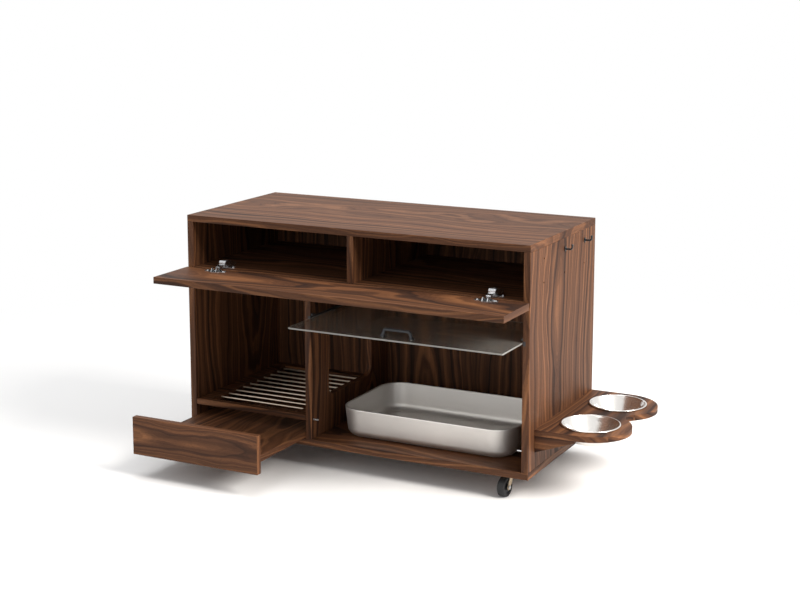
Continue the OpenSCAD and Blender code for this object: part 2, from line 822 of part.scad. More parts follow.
module tray_profile() {
    lean = atan2(tray_h - tray_bead, tray_flare);
    rise = tray_fillet * (1 - cos(lean));
    wall_l = (tray_h - tray_bead - rise) / sin(lean);
    foot_x = tray_r - tray_bead - wall_l * cos(lean) - tray_fillet * sin(lean);
    steps = 6;
    outer = [for (i = [0:steps]) let (a = lean * i / steps)
             [foot_x + tray_fillet * sin(a), tray_fillet * (1 - cos(a))]];
    inner = [for (i = [steps:-1:0]) let (a = lean * i / steps, r = tray_fillet - tray_t)
             [foot_x + r * sin(a), tray_fillet - r * cos(a)]];
    top = [tray_r - tray_bead, tray_h - tray_bead];
    polygon(concat([[0, 0]], outer, [top, top + [-tray_t * sin(lean), tray_t * cos(lean)]],
                   inner, [[0, tray_t]]));
    translate(top) circle(tray_bead);
}

module litter_tray() {
    color("#c9c9c6") translate([tray_x, tray_mid_y, tray_z]) {
        swept(tray_w, tray_d, tray_r) tray_profile();
        translate([-tray_w / 2 + tray_r, -tray_d / 2 + tray_r, 0])
            cube([tray_w - 2 * tray_r, tray_d - 2 * tray_r, tray_t]);
    }
}

// ---- feeder ------------------------------------------------------------------------------------

module feeder_board() {
    middle_y = bowls_y[0] + bowl_pitch / 2;
    color(walnut) translate([0, 0, feeder_z - feeder_t]) difference() {
        union() {
            translate([cab_w, feeder_y0, 0]) cube([feeder_reach, feeder_y1 - feeder_y0, feeder_t]);
            for (y = bowls_y) translate([feeder_x, y, 0]) cylinder(r = lobe_r, h = feeder_t);
            translate([feeder_x - 5, bowls_y[0], 0]) linear_extrude(feeder_t)
                polygon([[0, 0], [web_x + 5, web_y], [web_x + 5, bowl_pitch - web_y], [0, bowl_pitch]]);
        }
        translate([feeder_x + notch_x, middle_y, -1]) cylinder(r = notch_r + notch_bite, h = feeder_t + 2);
        for (y = bowls_y) translate([feeder_x, y, -1]) cylinder(r = bowl_hole_r, h = feeder_t + 2);
        translate([cab_w - 2 * lobe_r, 0, -1]) cube([2 * lobe_r, cab_d, feeder_t + 2]);
        translate([0, 0, feeder_t - feeder_z]) feeder_screw_set(fit_gap);
    }
}

module feeder_brackets() {
    color(walnut) difference() {
        for (y = brackets_y)
            translate([cab_w, y + gusset_t, feeder_z - feeder_t]) rotate([90, 0, 0]) linear_extrude(gusset_t)
                polygon([[0, 0], [gusset_l, 0], [gusset_l, -7], [gusset_l - 6, -9], [0, -gusset_h]]);
        feeder_screw_set(fit_gap);
    }
}

module bowl(y) {
    rim = [bowl_r - bowl_bead, bowl_h - bowl_bead];
    mouth_r = bowl_hole_r - 1.5;
    fillet = 8;
    lip_z = bowl_h - 2 * bowl_bead;
    lean = atan2(lip_z - fillet / 2, mouth_r - bowl_floor_r);
    steps = 5;
    outer = [for (i = [0:steps]) let (a = lean * i / steps)
             [bowl_floor_r + fillet * sin(a), fillet * (1 - cos(a))]];
    inner = [for (i = [steps:-1:0]) let (a = lean * i / steps, r = fillet - bowl_t)
             [bowl_floor_r + r * sin(a), fillet - r * cos(a)]];
    color(steel) translate([feeder_x, y, feeder_z + run_gap - lip_z]) rotate_extrude() {
        polygon(concat([[0, 0]], outer, [[mouth_r, lip_z - 1], [mouth_r + 0.6, lip_z], [rim[0], lip_z],
                [rim[0], lip_z + bowl_t], [mouth_r - bowl_t, lip_z + bowl_t]], inner, [[0, bowl_t]]));
        translate(rim) circle(bowl_bead);
    }
}

module bowl_front() {
    bowl(bowls_y[0]);
}

module bowl_rear() {
    bowl(bowls_y[1]);
}

// ---- hooks -------------------------------------------------------------------------------------

module hooks() {
    color(black)
        for (h = hooks_at) translate([cab_w, h[0], h[1]]) {
            rod([-hook_hole_l + 1, 0, 0], hook_hole_r - fit_gap, hook_hole_l, "x");
            rod([0, 0, 0], hook_rose_r, hook_rose_t, "x");
            rod([0, 0, 0], hook_r, hook_reach - hook_bend, "x");
            translate([hook_reach - hook_bend, 0, hook_bend]) rotate([90, 0, 0]) rotate([0, 0, -90])
                rotate_extrude(angle = 90) translate([hook_bend, 0]) circle(hook_r);
            translate([hook_reach, 0, hook_bend - eps]) cylinder(r = hook_r, h = hook_tip);
            translate([hook_reach, 0, hook_bend + hook_tip - eps]) sphere(hook_r + hook_ball);
        }
}

// ---- castors -----------------------------------------------------------------------------------

// y runs away from the trailing wheel; the swivel axis is z
module at_castor(c) {
    translate([c[1], c[2], 0]) rotate([0, 0, c[3]]) children();
}

king_r = 4;
king_head_r = 6.5;
king_head_t = 1.8;

module castor_plates() {
    color(steel)
        for (c = castors) translate([c[1], c[2], 0]) {
            difference() {
                translate([-plate_w / 2, -plate_w / 2, -plate_t]) linear_extrude(plate_t)
                    rounded(plate_w, plate_w, 5);
                for (x = [-1, 1], y = [-1, 1])
                    translate([x * (plate_w / 2 - 5.5), y * (plate_w / 2 - 5.5), -plate_t - 1])
                        cylinder(r = 2.3, h = plate_t + 2);
            }
            king_l = fork_cap_t + 2 * run_gap;
            translate([0, 0, -plate_t - king_l]) cylinder(r = king_r, h = king_l + eps);
            translate([0, 0, -plate_t - king_l - king_head_t])
                cylinder(r = king_head_r, h = king_head_t + eps);
        }
}

module castor_fork(c) {
    cap_top = -plate_t - run_gap;
    color("#c9c2b4") at_castor(c) difference() {
        union() {
            translate([0, 0, cap_top - fork_cap_t]) cylinder(r = fork_cap_r, h = fork_cap_t);
            for (s = [-1, 1])
                translate([s * (fork_in + fork_t / 2) - fork_t / 2, 0, 0]) rotate([90, 0, 90])
                    linear_extrude(fork_t) {
                        translate([-trail, wheel_z]) circle(axle_r + 4);
                        polygon([[9, cap_top - 1], [9, cap_top - fork_cap_t],
                                 [-trail + axle_r + 3.4, wheel_z - 2], [-trail - axle_r - 3.8, wheel_z + 1],
                                 [-11, cap_top - fork_cap_t], [-11, cap_top - 1]]);
                    }
        }
        translate([0, 0, cap_top - fork_cap_t - 1]) cylinder(r = king_r + fit_gap, h = fork_cap_t + 2);
        rod([-fork_in - 10, -trail, wheel_z], axle_r + fit_gap, 2 * fork_in + 20, "x");
    }
}

module castor_axle(c) {
    outer = fork_in + fork_t + 0.1;
    color(steel) at_castor(c) {
        rod([-outer - 1, -trail, wheel_z], axle_r, 2 * outer + 2, "x");
        rod([outer, -trail, wheel_z], axle_r + 2.2, 2.5, "x");
        rod([-outer - 3, -trail, wheel_z], axle_r + 2.4, 3, "x", $fn = 6);
    }
}

module castor_wheel(c) {
    rim_r = wheel_r * 0.8;
    color("#3a3b3d") at_castor(c) translate([0, -trail, wheel_z]) difference() {
        union() {
            rod([-wheel_w / 2 + 1.5, 0, 0], rim_r, wheel_w - 3, "x");
            rod([-wheel_w / 2, 0, 0], axle_r + 3.5, wheel_w, "x");
        }
        rod([-wheel_w, 0, 0], axle_r + fit_gap, 2 * wheel_w, "x");
        for (s = [-1, 1]) rotate([0, 0, s > 0 ? 0 : 180]) rotate([0, 90, 0]) rotate_extrude()
            translate([axle_r + 5, wheel_w / 2 - 3.5]) square([rim_r - axle_r - 8, 3]);
    }
}

module castor_tyre(c) {
    rim_r = wheel_r * 0.8;
    round_r = 3;
    color(black) at_castor(c) translate([0, -trail, wheel_z]) rotate([0, 90, 0]) rotate_extrude()
        difference() {
            translate([rim_r, -wheel_w / 2]) square([wheel_r - rim_r, wheel_w]);
            for (s = [-1, 1]) mirror([0, s > 0 ? 0 : 1]) translate([wheel_r - round_r, wheel_w / 2 - round_r])
                difference() {
                    square(round_r + 1);
                    circle(round_r);
                }
        }
}

placed() {
    top_board();
    bottom_board();
    left_side();
    right_side();
    back_panel();
    lower_divider();
    upper_shelf();
    upper_divider();
    dowels();
    cam_locks();
    case_screws();
    slat_frame();
    slats();
    frame_pins();
    door_tracks();
    stop_pins();
    hinge_plates();
    hinge_arms();
    feeder_board();
    feeder_brackets();
    feeder_screws();
    hooks();
    castor_plates();
    flap_panel();
    hinge_cups();
    hinge_links();
    door_rollers();
    acrylic_door();
    pivot_brackets();
    door_handle();
    handle_screws();
    drawer_front();
    catch_board();
    drawer_glides();
    litter_tray();
    bowl_front();
    bowl_rear();
    for (c = castors) {
        castor_fork(c);
        castor_axle(c);
        castor_wheel(c);
        castor_tyre(c);
    }
}
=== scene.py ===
"""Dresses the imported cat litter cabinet: boards, barred floor, tray, bowls, door and castors."""
import math

import bmesh
import bpy
import numpy as np
from bpy.props import FloatProperty, FloatVectorProperty, PointerProperty
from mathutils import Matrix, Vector


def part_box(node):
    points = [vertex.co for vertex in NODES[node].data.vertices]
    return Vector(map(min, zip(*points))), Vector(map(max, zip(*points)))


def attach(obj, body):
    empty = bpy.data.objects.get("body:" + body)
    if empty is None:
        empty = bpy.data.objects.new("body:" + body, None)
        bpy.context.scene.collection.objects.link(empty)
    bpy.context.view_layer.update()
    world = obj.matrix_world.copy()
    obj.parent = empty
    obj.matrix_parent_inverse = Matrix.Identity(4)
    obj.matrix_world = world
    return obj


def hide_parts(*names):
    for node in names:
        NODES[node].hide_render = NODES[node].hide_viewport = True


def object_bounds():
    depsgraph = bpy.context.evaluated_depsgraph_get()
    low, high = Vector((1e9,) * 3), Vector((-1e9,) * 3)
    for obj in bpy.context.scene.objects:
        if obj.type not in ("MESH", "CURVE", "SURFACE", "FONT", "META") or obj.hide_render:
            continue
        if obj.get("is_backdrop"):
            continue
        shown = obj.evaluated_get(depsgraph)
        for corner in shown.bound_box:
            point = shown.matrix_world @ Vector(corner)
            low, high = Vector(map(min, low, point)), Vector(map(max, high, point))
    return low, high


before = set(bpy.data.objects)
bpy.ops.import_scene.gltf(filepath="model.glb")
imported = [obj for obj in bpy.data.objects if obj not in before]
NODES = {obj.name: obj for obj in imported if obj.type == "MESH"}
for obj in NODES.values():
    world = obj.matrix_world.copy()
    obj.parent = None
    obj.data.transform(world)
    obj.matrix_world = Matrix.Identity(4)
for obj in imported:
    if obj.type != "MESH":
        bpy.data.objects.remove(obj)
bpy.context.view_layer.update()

bl_info = {
    "name": "Litter Cabinet Finishes",
    "version": (1, 0, 0),
    "blender": (4, 5, 0),
    "location": "3D View > Sidebar > Cabinet",
    "description": "Gives the packed litter cabinet its veneers, metals, small fittings and studio",
    "category": "Object",
}

MM = 0.001


# ---- settings -----------------------------------------------------------------------------------


def linear(hexcode):
    """An sRGB hex colour as linear red, green and blue."""
    code = np.array([int(hexcode[i : i + 2], 16) for i in (1, 3, 5)]) / 255
    return tuple(np.where(code <= 0.04045, code / 12.92, ((code + 0.055) / 1.055) ** 2.4))


def colour(name, description, hexcode):
    """A colour setting that starts as an sRGB hex colour."""
    return FloatVectorProperty(
        name=name, description=description, subtype="COLOR", size=3, min=0, max=1,
        default=linear(hexcode),
    )


def length(name, description, metres):
    """A length setting."""
    return FloatProperty(
        name=name, description=description, unit="LENGTH", min=0, default=metres
    )


class CabinetWood(bpy.types.PropertyGroup):
    """Colours and sizes of the veneers."""

    dark: colour("Walnut dark", "Late wood of the walnut figure", "#28170f")
    middle: colour("Walnut middle", "Main tone of the walnut figure", "#523320")
    light: colour("Walnut light", "Sapwood streaks in the walnut", "#784f32")
    peg: colour("Beech", "Pale hardwood of the dowels", "#a67e58")
    ring: length("Figure spacing", "Mean distance between growth rings", 12 * MM)
    warp: length("Figure drift", "How far the rings wander along a board", 52 * MM)
    arris: length("Arris radius", "Rounding of the boards' edges", 0.9 * MM)


class CabinetFittings(bpy.types.PropertyGroup):
    """Colours of the metals and plastics."""

    zinc: colour("Zinc plate", "Bright plated hinge and screw steel", "#c8c9cb")
    stainless: colour("Stainless steel", "Satin sheet of the tray and bowls", "#e4e1dd")
    bar: colour("Slat steel", "Warm grey ground steel of the round slats", "#dccbb8")
    fork: colour("Castor fork", "Yellow-passivated castor steel", "#c9b79c")
    powder: colour("Handle coating", "Dark grey handle finish", "#3b3c40")
    black: colour("Black plastic", "Tracks, brackets and hooks", "#161618")
    rubber: colour("Rubber", "Castor tyres", "#141415")
    nylon: colour("Nylon", "Rollers and glides", "#dedbd0")
    acrylic: colour("Acrylic", "Tint of the clear door", "#d9d6cf")


class CabinetStage(bpy.types.PropertyGroup):
    """Camera, world and floor."""

    lens: FloatProperty(
        name="Lens", description="Focal length", subtype="DISTANCE_CAMERA", default=71.16
    )
    shift: FloatProperty(name="Shift", description="Vertical lens shift", default=-0.1)
    eye: FloatVectorProperty(
        name="Eye", description="Camera position", subtype="XYZ", unit="LENGTH",
        default=(1.811, -3.589, 1.358),
    )
    pitch: FloatProperty(
        name="Pitch", description="Downward tilt", subtype="ANGLE", default=math.radians(9.68)
    )
    yaw: FloatProperty(
        name="Yaw", description="Turn to the left", subtype="ANGLE", default=math.radians(26.9)
    )
    world: FloatProperty(
        name="World", description="Strength of the surrounding light", min=0, default=0.48
    )
    floor: colour("Floor", "Studio floor", "#fafafa")


# ---- materials ----------------------------------------------------------------------------------


def add(tree, kind, inputs=None, stops=(), **settings):
    """Adds one shader node.

    settings are its properties, inputs its socket values or the sockets that feed them, and stops
    the (position, colour) pairs of a colour ramp."""
    made = tree.nodes.new(f"ShaderNode{kind}")
    for key, value in settings.items():
        setattr(made, key, value)
    for key, value in (inputs or {}).items():
        socket = made.inputs[key]
        if isinstance(value, bpy.types.NodeSocket):
            tree.links.new(value, socket)
        elif socket.type == "RGBA" and len(value) == 3:
            socket.default_value = (*value, 1)
        else:
            socket.default_value = value
    if stops:
        elements = made.color_ramp.elements
        while len(elements) < len(stops):
            elements.new(1)
        for element, (position, shade) in zip(elements, stops):
            element.position = position
            element.color = (*shade, 1)
    return made


def fresh(name, **values):
    """A new material with one Principled shader, and its node tree."""
    material = bpy.data.materials.new(name)
    material.use_nodes = True
    tree = material.node_tree
    tree.nodes.clear()
    shader = add(tree, "BsdfPrincipled", {k.replace("_", " "): v for k, v in values.items()})
    add(tree, "OutputMaterial", {"Surface": shader.outputs[0]})
    return material, tree, shader


def feed(tree, shader, sockets):
    """Links each socket to the shader's input of that name."""
    for key, socket in sockets.items():
        tree.links.new(socket, shader.inputs[key])


# cycles a metre along and across the grain
FIBRES = 14.0, 620.0
PORES = 110.0, 1500.0
# slow and quick drift of the rings: cycles along and across, and its share of the warp setting
RING_DRIFTS = (1.7, 5.0, 2.0), (9.0, 30.0, 0.22)
# broad bands of tone, thin long streaks and single fibres: cycles along and across, and the least
# and most that each multiplies the colour by
TONE_LAYERS = (0.8, 7.0, 0.8, 1.2), (2.4, 130.0, 0.8, 1.18), (*FIBRES, 0.86, 1.12)
# where nearly all of a noise texture's values lie
NOISE_SPAN = {"From Min": 0.3, "From Max": 0.7}


def grained(name, grain, seed, tones, heart, contrast=1.0):
    """Sawn wood under satin lacquer.

    The figure is noise over the distance from a heart line that lies along the grain, and slow
    noise bends that distance, so flat boards show arches and stripes. Tight noise drawn out along
    the grain gives fibres and pores."""
    wood = bpy.context.scene.cabinet_wood
    material, tree, shader = fresh(name, IOR=1.4, Specular_IOR_Level=0.25)
    place = add(tree, "TexCoord").outputs["Object"]
    axis = "XYZ".index(grain)
    drift = np.random.default_rng(seed).uniform(-9, 9, 3)

    def streaks(along, across, detail=2.0):
        """Noise with so many cycles a metre along and across the grain."""
        scale = [across] * 3
        scale[axis] = along
        drawn = add(tree, "Mapping", {"Vector": place, "Location": drift, "Scale": scale})
        inputs = {"Vector": drawn.outputs[0], "Scale": 1.0, "Detail": detail, "Roughness": 0.5}
        return add(tree, "TexNoise", inputs).outputs["Fac"]

    offset, flat = [-h for h in heart], [1.0] * 3
    offset[axis] = flat[axis] = 0.0
    around = add(tree, "Mapping", {"Vector": place, "Location": offset, "Scale": flat}).outputs[0]
    bend = add(tree, "VectorMath", {0: around}, operation="LENGTH").outputs["Value"]
    for along, across, share in RING_DRIFTS:
        inputs = {0: streaks(along, across, 1.0), 1: share * wood.warp, 2: bend}
        bend = add(tree, "Math", inputs, operation="MULTIPLY_ADD").outputs[0]
    rings = add(tree, "Math", {0: bend, 1: wood.ring}, operation="DIVIDE").outputs[0]
    figure = add(
        tree, "TexNoise", {"W": rings, "Scale": 1.0, "Detail": 4.0, "Roughness": 0.62},
        noise_dimensions="1D",
    ).outputs["Fac"]
    dark, middle, light = tones
    spread = 0.2 / contrast
    stops = (0.5 - spread, dark), (0.49, middle), (0.5 + spread, light)
    base = add(tree, "ValToRGB", {"Fac": figure}, stops).outputs["Color"]
    for along, across, low, high in TONE_LAYERS:
        inputs = {"Value": streaks(along, across), **NOISE_SPAN, "To Min": low, "To Max": high}
        share = add(tree, "MapRange", inputs).outputs[0]
        grey = add(tree, "CombineColor", {0: share, 1: share, 2: share}).outputs[0]
        base = add(
            tree, "Mix", {"Factor": 1.0, 6: base, 7: grey}, data_type="RGBA", blend_type="MULTIPLY"
        ).outputs[2]
    # open pores: dark sunk dashes 2 to 10 mm long
    inputs = {"Value": streaks(*PORES, 1.0), "From Min": 0.6, "From Max": 0.7}
    pores = add(tree, "MapRange", inputs).outputs[0]
    ink = add(tree, "Math", {0: pores, 1: 0.55}, operation="MULTIPLY").outputs[0]
    base = add(tree, "Mix", {"Factor": ink, 6: base, 7: dark}, data_type="RGBA").outputs[2]
    sunk = add(tree, "Math", {0: pores, 1: 0.8}, operation="MULTIPLY").outputs[0]
    relief = add(tree, "Math", {0: streaks(*FIBRES), 1: sunk}, operation="SUBTRACT").outputs[0]
    bump = add(tree, "Bump", {"Height": relief, "Strength": 0.25, "Distance": 0.15 * MM})
    # the lacquer lies slightly duller on the dark wood than on the pale
    inputs = {"Value": figure, **NOISE_SPAN, "To Min": 0.62, "To Max": 0.52}
    rough = add(tree, "MapRange", inputs).outputs[0]
    feed(tree, shader, {"Base Color": base, "Roughness": rough, "Normal": bump.outputs[0]})
    return material


def walnut(name, grain, seed, heart):
    """American walnut veneer, sliced and lacquered satin: dark wavy figure with lighter streaks."""
    wood = bpy.context.scene.cabinet_wood
    return grained(name, grain, seed, (wood.dark, wood.middle, wood.light), heart)


def speckled(name, shade, metallic, roughness, grit, depth, **values):
    """A plain finish whose roughness and tone vary with the sum of a fine and a slow noise.

    grit is the fine noise's size and depth its height, both in millimetres."""
    material, tree, shader = fresh(name, Base_Color=tuple(shade), Metallic=metallic, **values)
    place = add(tree, "TexCoord").outputs["Object"]
    fine = add(tree, "Mapping", {"Vector": place, "Scale": [1 / (grit * MM)] * 3}).outputs[0]
    grain = add(tree, "TexNoise", {"Vector": fine, "Scale": 1.0, "Detail": 3.0}).outputs["Fac"]
    slow = add(tree, "TexNoise", {"Vector": place, "Scale": 7.0, "Detail": 2.0}).outputs["Fac"]
    both = add(tree, "Math", {0: grain, 1: slow}, operation="ADD").outputs[0]
    span = {"Value": both, "From Min": 2 * 0.3, "From Max": 2 * 0.7}
    gloss = {**span, "To Min": roughness - 0.08, "To Max": roughness + 0.08}
    rough = add(tree, "MapRange", gloss).outputs[0]
    tone = add(tree, "MapRange", {**span, "To Min": 0.93, "To Max": 1.05}).outputs[0]
    tinted = add(tree, "VectorMath", {0: tuple(shade), "Scale": tone}, operation="SCALE").outputs[0]
    bump = add(tree, "Bump", {"Height": grain, "Strength": 0.3, "Distance": depth * MM})
    feed(tree, shader, {"Base Color": tinted, "Roughness": rough, "Normal": bump.outputs[0]})
    return material


def clear_acrylic(name, shade):
    """Cast acrylic sheet: clear and sharp in reflection, with a faint waviness."""
    material, tree, shader = fresh(
        name, Base_Color=shade, Roughness=0.03, IOR=1.49, Transmission_Weight=0.88
    )
    place = add(tree, "TexCoord").outputs["Object"]
    wave = add(tree, "TexNoise", {"Vector": place, "Scale": 9.0, "Detail": 1.0}).outputs["Fac"]
    bump = add(tree, "Bump", {"Height": wave, "Strength": 0.05, "Distance": 0.2 * MM})
    feed(tree, shader, {"Normal": bump.outputs[0]})
    return material


def sawn_acrylic(name, shade):
    """The sawn and scraped edges of the acrylic sheet, which scatter light and read pale grey."""
    dimmed = np.array(shade) * 0.5
    return speckled(name, dimmed, 0.0, 0.45, 0.6, 0.02, IOR=1.49, Transmission_Weight=0.4)


# each speckled finish: its colour setting, metallic, roughness, grit and depth in millimetres
SPECKLED = {
    # cold-rolled strip under bright zinc: sharp sparkle, faint rolling grain
    "bright_zinc": ("zinc", 1.0, 0.26, 0.5, 0.01),
    # centreless-ground bar: soft bright line along its top
    "ground_steel": ("bar", 1.0, 0.34, 0.4, 0.006),
    # drawn stainless sheet, bead-blasted satin: soft broad highlights
    "satin_stainless": ("stainless", 1.0, 0.5, 0.7, 0.01),
    # spun stainless with a buffed face: clear, slightly stretched reflections
    "buffed_stainless": ("stainless", 1.0, 0.2, 0.8, 0.006),
    # yellow-passivated pressed steel: a warm, dull metal
    "passivated_steel": ("fork", 0.85, 0.34, 1.2, 0.01),
    # fine powder coat: dark satin with orange peel
    "powder_coat": ("powder", 0.6, 0.38, 0.8, 0.03),
    # injection-moulded ABS with a spark-eroded texture: even, near black
    "moulded_abs": ("black", 0.0, 0.45, 0.6, 0.03),
    # moulded rubber: dull and black
    "moulded_rubber": ("rubber", 0.0, 0.68, 0.9, 0.05),
    # natural polyamide: off-white and slightly waxy
    "natural_nylon": ("nylon", 0.0, 0.4, 0.8, 0.01),
}
FINISHES = {}


def finish(name):
    """The metal, plastic or rubber of that name, made once."""
    fittings = bpy.context.scene.cabinet_fittings
    if name not in FINISHES:
        if name in SPECKLED:
            setting, *numbers = SPECKLED[name]
            FINISHES[name] = speckled(name, getattr(fittings, setting), *numbers)
        else:
            make = {"cast_acrylic": clear_acrylic, "sawn_acrylic_edge": sawn_acrylic}[name]
            FINISHES[name] = make(name, tuple(fittings.acrylic))
    return FINISHES[name]


# ---- shapes -------------------------------------------------------------------------------------

WELD = 1e-6  # metres within which two points become one
ON_WALL = 1e-5  # metres within which a point counts as on a side of a box
SQUARE = 0.9  # share of a normal along an axis from which a face is square to it
DRAWN_CREASE = math.radians(40)  # a drawn piece's edges above this stay sharp
CAD_CREASE = math.radians(35)  # a carried-over node's edges above this stay sharp


def settle(piece, body, slot, *nodes):
    """Puts a finished piece on its body, in place of the CAD nodes it stands for; slot is not used.
    """
    bpy.context.scene.collection.objects.link(piece)
    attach(piece, body)
    if nodes:
        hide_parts(*nodes)


def mend(name, mesh, crease):
    """Merges doubled points, turns faces outwards, and shades smooth except over sharp edges."""
    shape = bmesh.new()
    shape.from_mesh(mesh)
    bmesh.ops.remove_doubles(shape, verts=shape.verts, dist=WELD)
    bmesh.ops.dissolve_degenerate(shape, edges=shape.edges, dist=WELD / 10)
    bmesh.ops.recalc_face_normals(shape, faces=shape.faces)
    for face in shape.faces:
        face.smooth = True
    for edge in shape.edges:
        edge.smooth = len(edge.link_faces) == 2 and edge.calc_face_angle(0) < crease
    shape.to_mesh(mesh)
    shape.free()
    return bpy.data.objects.new(name, mesh)


def grid(name, *surfaces, loop_v=False):
    """One mesh object from surfaces of points[u, v]: quads between neighbours, closed in v where
    asked. Doubled points at seams and poles are merged."""
    points, quads, start = [], [], 0
    for surface in surfaces:
        rows, columns = surface.shape[:2]
        index = start + np.arange(rows * columns).reshape(rows, columns)
        if loop_v:
            index = np.concatenate([index, index[:, :1]], axis=1)
        corners = index[:-1, :-1], index[1:, :-1], index[1:, 1:], index[:-1, 1:]
        quads.append(np.stack(corners, axis=-1).reshape(-1, 4))
        points.append(surface.reshape(-1, 3))
        start += rows * columns
    mesh = bpy.data.meshes.new(name)
    mesh.from_pydata(np.concatenate(points).tolist(), [], np.concatenate(quads).tolist())
    return mend(name, mesh, DRAWN_CREASE)


def circle(steps):
    """Cosine and sine at even steps of one full turn."""
    angle = np.linspace(0, 2 * np.pi, steps, endpoint=False)
    return np.cos(angle), np.sin(angle)


def arc(centre, radius, start, end, count):
    """Points on a circle from start to end, in degrees."""
    angle = np.radians(np.linspace(start, end, count))
    across, up = centre[0] + radius * np.cos(angle), centre[1] + radius * np.sin(angle)
    return np.stack([across, up], axis=-1)


def turned(profile, centre):
    """A profile of (radius, height) turned about the upright axis through centre: radius times
    the circle, and height along the axis."""
    radius, height = np.array(profile, float).T[..., None]
    cosine, sine = circle(128)
    points = radius * cosine, radius * sine, height + 0 * cosine
    return np.stack(points, axis=-1) + np.array(centre)


def cross_head(centre, radius, tall, sink):
    """A screw head standing on centre: a flattened dome less a cross, over a shank sink deep.

    Height is tall times (1 - 0.5 r^4), r the share of the radius, less half of tall inside the
    cross. The cross is the product of two ramps, one across its arms and one along them."""
    cosine, sine = circle(80)
    arm, arm_slope = 0.16 * radius, 0.07 * radius
    reach, reach_slope = 0.62 * radius, 0.1 * radius
    share = np.linspace(0, 1, 17)[:, None] ** 0.85
    u, v = radius * share * cosine, radius * share * sine
    slim, wide = np.minimum(abs(u), abs(v)), np.maximum(abs(u), abs(v))
    cross = np.clip((arm - slim) / arm_slope, 0, 1) * np.clip((reach - wide) / reach_slope, 0, 1)
    height = tall * (1 - 0.5 * share**4) - 0.5 * tall * cross
    # the shank: the rim again at the bottom, then the middle
    u = np.concatenate([u, u[-1:], 0 * u[-1:]])
    v = np.concatenate([v, v[-1:], 0 * v[-1:]])
    up = np.concatenate([height, np.full((2, len(cosine)), -sink)])
    return np.stack([u, v, up], axis=-1) + np.array(centre)


def bent_rod(path, radii):
    """A round rod whose centre line is path, in a plane of constant y, with a radius at each point.

    Each ring is the point plus the radius times (cosine of the in-plane normal and sine of the y
    axis); both ends close on their own centre."""
    tangent = np.gradient(path, axis=0)
    tangent /= np.linalg.norm(tangent, axis=1, keepdims=True)
    normal = np.stack([tangent[:, 2], np.zeros(len(path)), -tangent[:, 0]], axis=-1)
    cosine, sine = circle(28)
    ring = cosine[:, None] * normal[:, None] + sine[:, None] * np.array([0, 1, 0])
    rings = path[:, None] + radii[:, None, None] * ring
    first, last = (np.repeat(path[i][None, None], len(sine), axis=1) for i in (0, -1))
    return np.concatenate([first, rings, last])


def copied(node, suffix, material, body, slot):
    """A merged, smoothly shaded copy of a CAD node, which stands for it."""
    mesh = NODES[node].data.copy()
    mesh.materials.clear()
    mesh.materials.append(material)
    settle(mend(f"{node}_{suffix}", mesh, CAD_CREASE), body, slot, node)


def eased(node, pick, radius):
    """A merged copy of a CAD node with the picked edges rounded, and only the roundings smooth.

    pick gets an edge and the normals of its two faces."""
    shape = bmesh.new()
    shape.from_mesh(NODES[node].data)
    bmesh.ops.remove_doubles(shape, verts=shape.verts, dist=WELD)
    bmesh.ops.dissolve_limit(
        shape, angle_limit=math.radians(0.5), verts=shape.verts, edges=shape.edges
    )
    corner = 0.5  # radians between the faces of an edge that is worth rounding
    edges = [
        e for e in shape.edges
        if len(e.link_faces) == 2
        and e.calc_face_angle(0) > corner
        and pick(e, *[f.normal for f in e.link_faces])
    ]
    made = bmesh.ops.bevel(
        shape, geom=edges, offset=radius, segments=2, profile=0.5, affect="EDGES",
        clamp_overlap=True,
    )
    rounded = set(made["faces"])
    for face in shape.faces:
        face.smooth = face in rounded
    return shape


def on_outline(node):
    """Picks the edges that lie on two sides of the node's own box."""
    walls = np.array(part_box(node))

    def pick(edge, *normals):
        ends = np.array([v.co for v in edge.verts])
        shared = (abs(ends - walls[:, None]) < ON_WALL).all(axis=1)
        return shared.any(axis=0).sum() >= 2

    return pick


def on_rim(axis):
    """Picks the edges where a face square to the axis meets one that isn't."""
    return lambda edge, *normals: sum(abs(n[axis]) > SQUARE for n in normals) == 1


def heart_behind(node, shift, depth):
    """A heart line behind the middle of a board, moved by shift along its face and depth through
    its thickness."""
    low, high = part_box(node)
    heart = (low + high) / 2
    thin = min(range(3), key=lambda i: high[i] - low[i])
    for i in range(3):
        heart[i] += -depth if i == thin else shift
    return heart


def veneered(node, body, grain, seed, heart, pick=None):
    """A board with eased arrises: face veneer, and an edge band over the grain's ends."""
    outline = on_outline(node)
    picked = (lambda edge, *n: outline(edge, *n) or pick(edge, *n)) if pick else outline
    shape = eased(node, picked, bpy.context.scene.cabinet_wood.arris)
    low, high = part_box(node)
    axis = "XYZ".index(grain)
    longest = max((i for i in range(3) if i != axis), key=lambda i: high[i] - low[i])
    for face in shape.faces:
        face.material_index = int(abs(face.normal[axis]) > 0.7)
    name = f"{node}_veneered"
    mesh = bpy.data.meshes.new(name)
    shape.to_mesh(mesh)
    shape.free()
    mesh.materials.append(walnut(f"walnut_{node}", grain, seed, heart))
    # the band's grain runs along the longest way across the board's own
    band = f"walnut_edge_band_{'XYZ'[longest]}"
    if band not in FINISHES:
        FINISHES[band] = walnut(band, "XYZ"[longest], 70 + longest, (0.9, 0.8, 0.7))
    mesh.materials.append(FINISHES[band])
    settle(bpy.data.objects.new(name, mesh), body, "walnut_veneer", node)


# ---- operators ----------------------------------------------------------------------------------

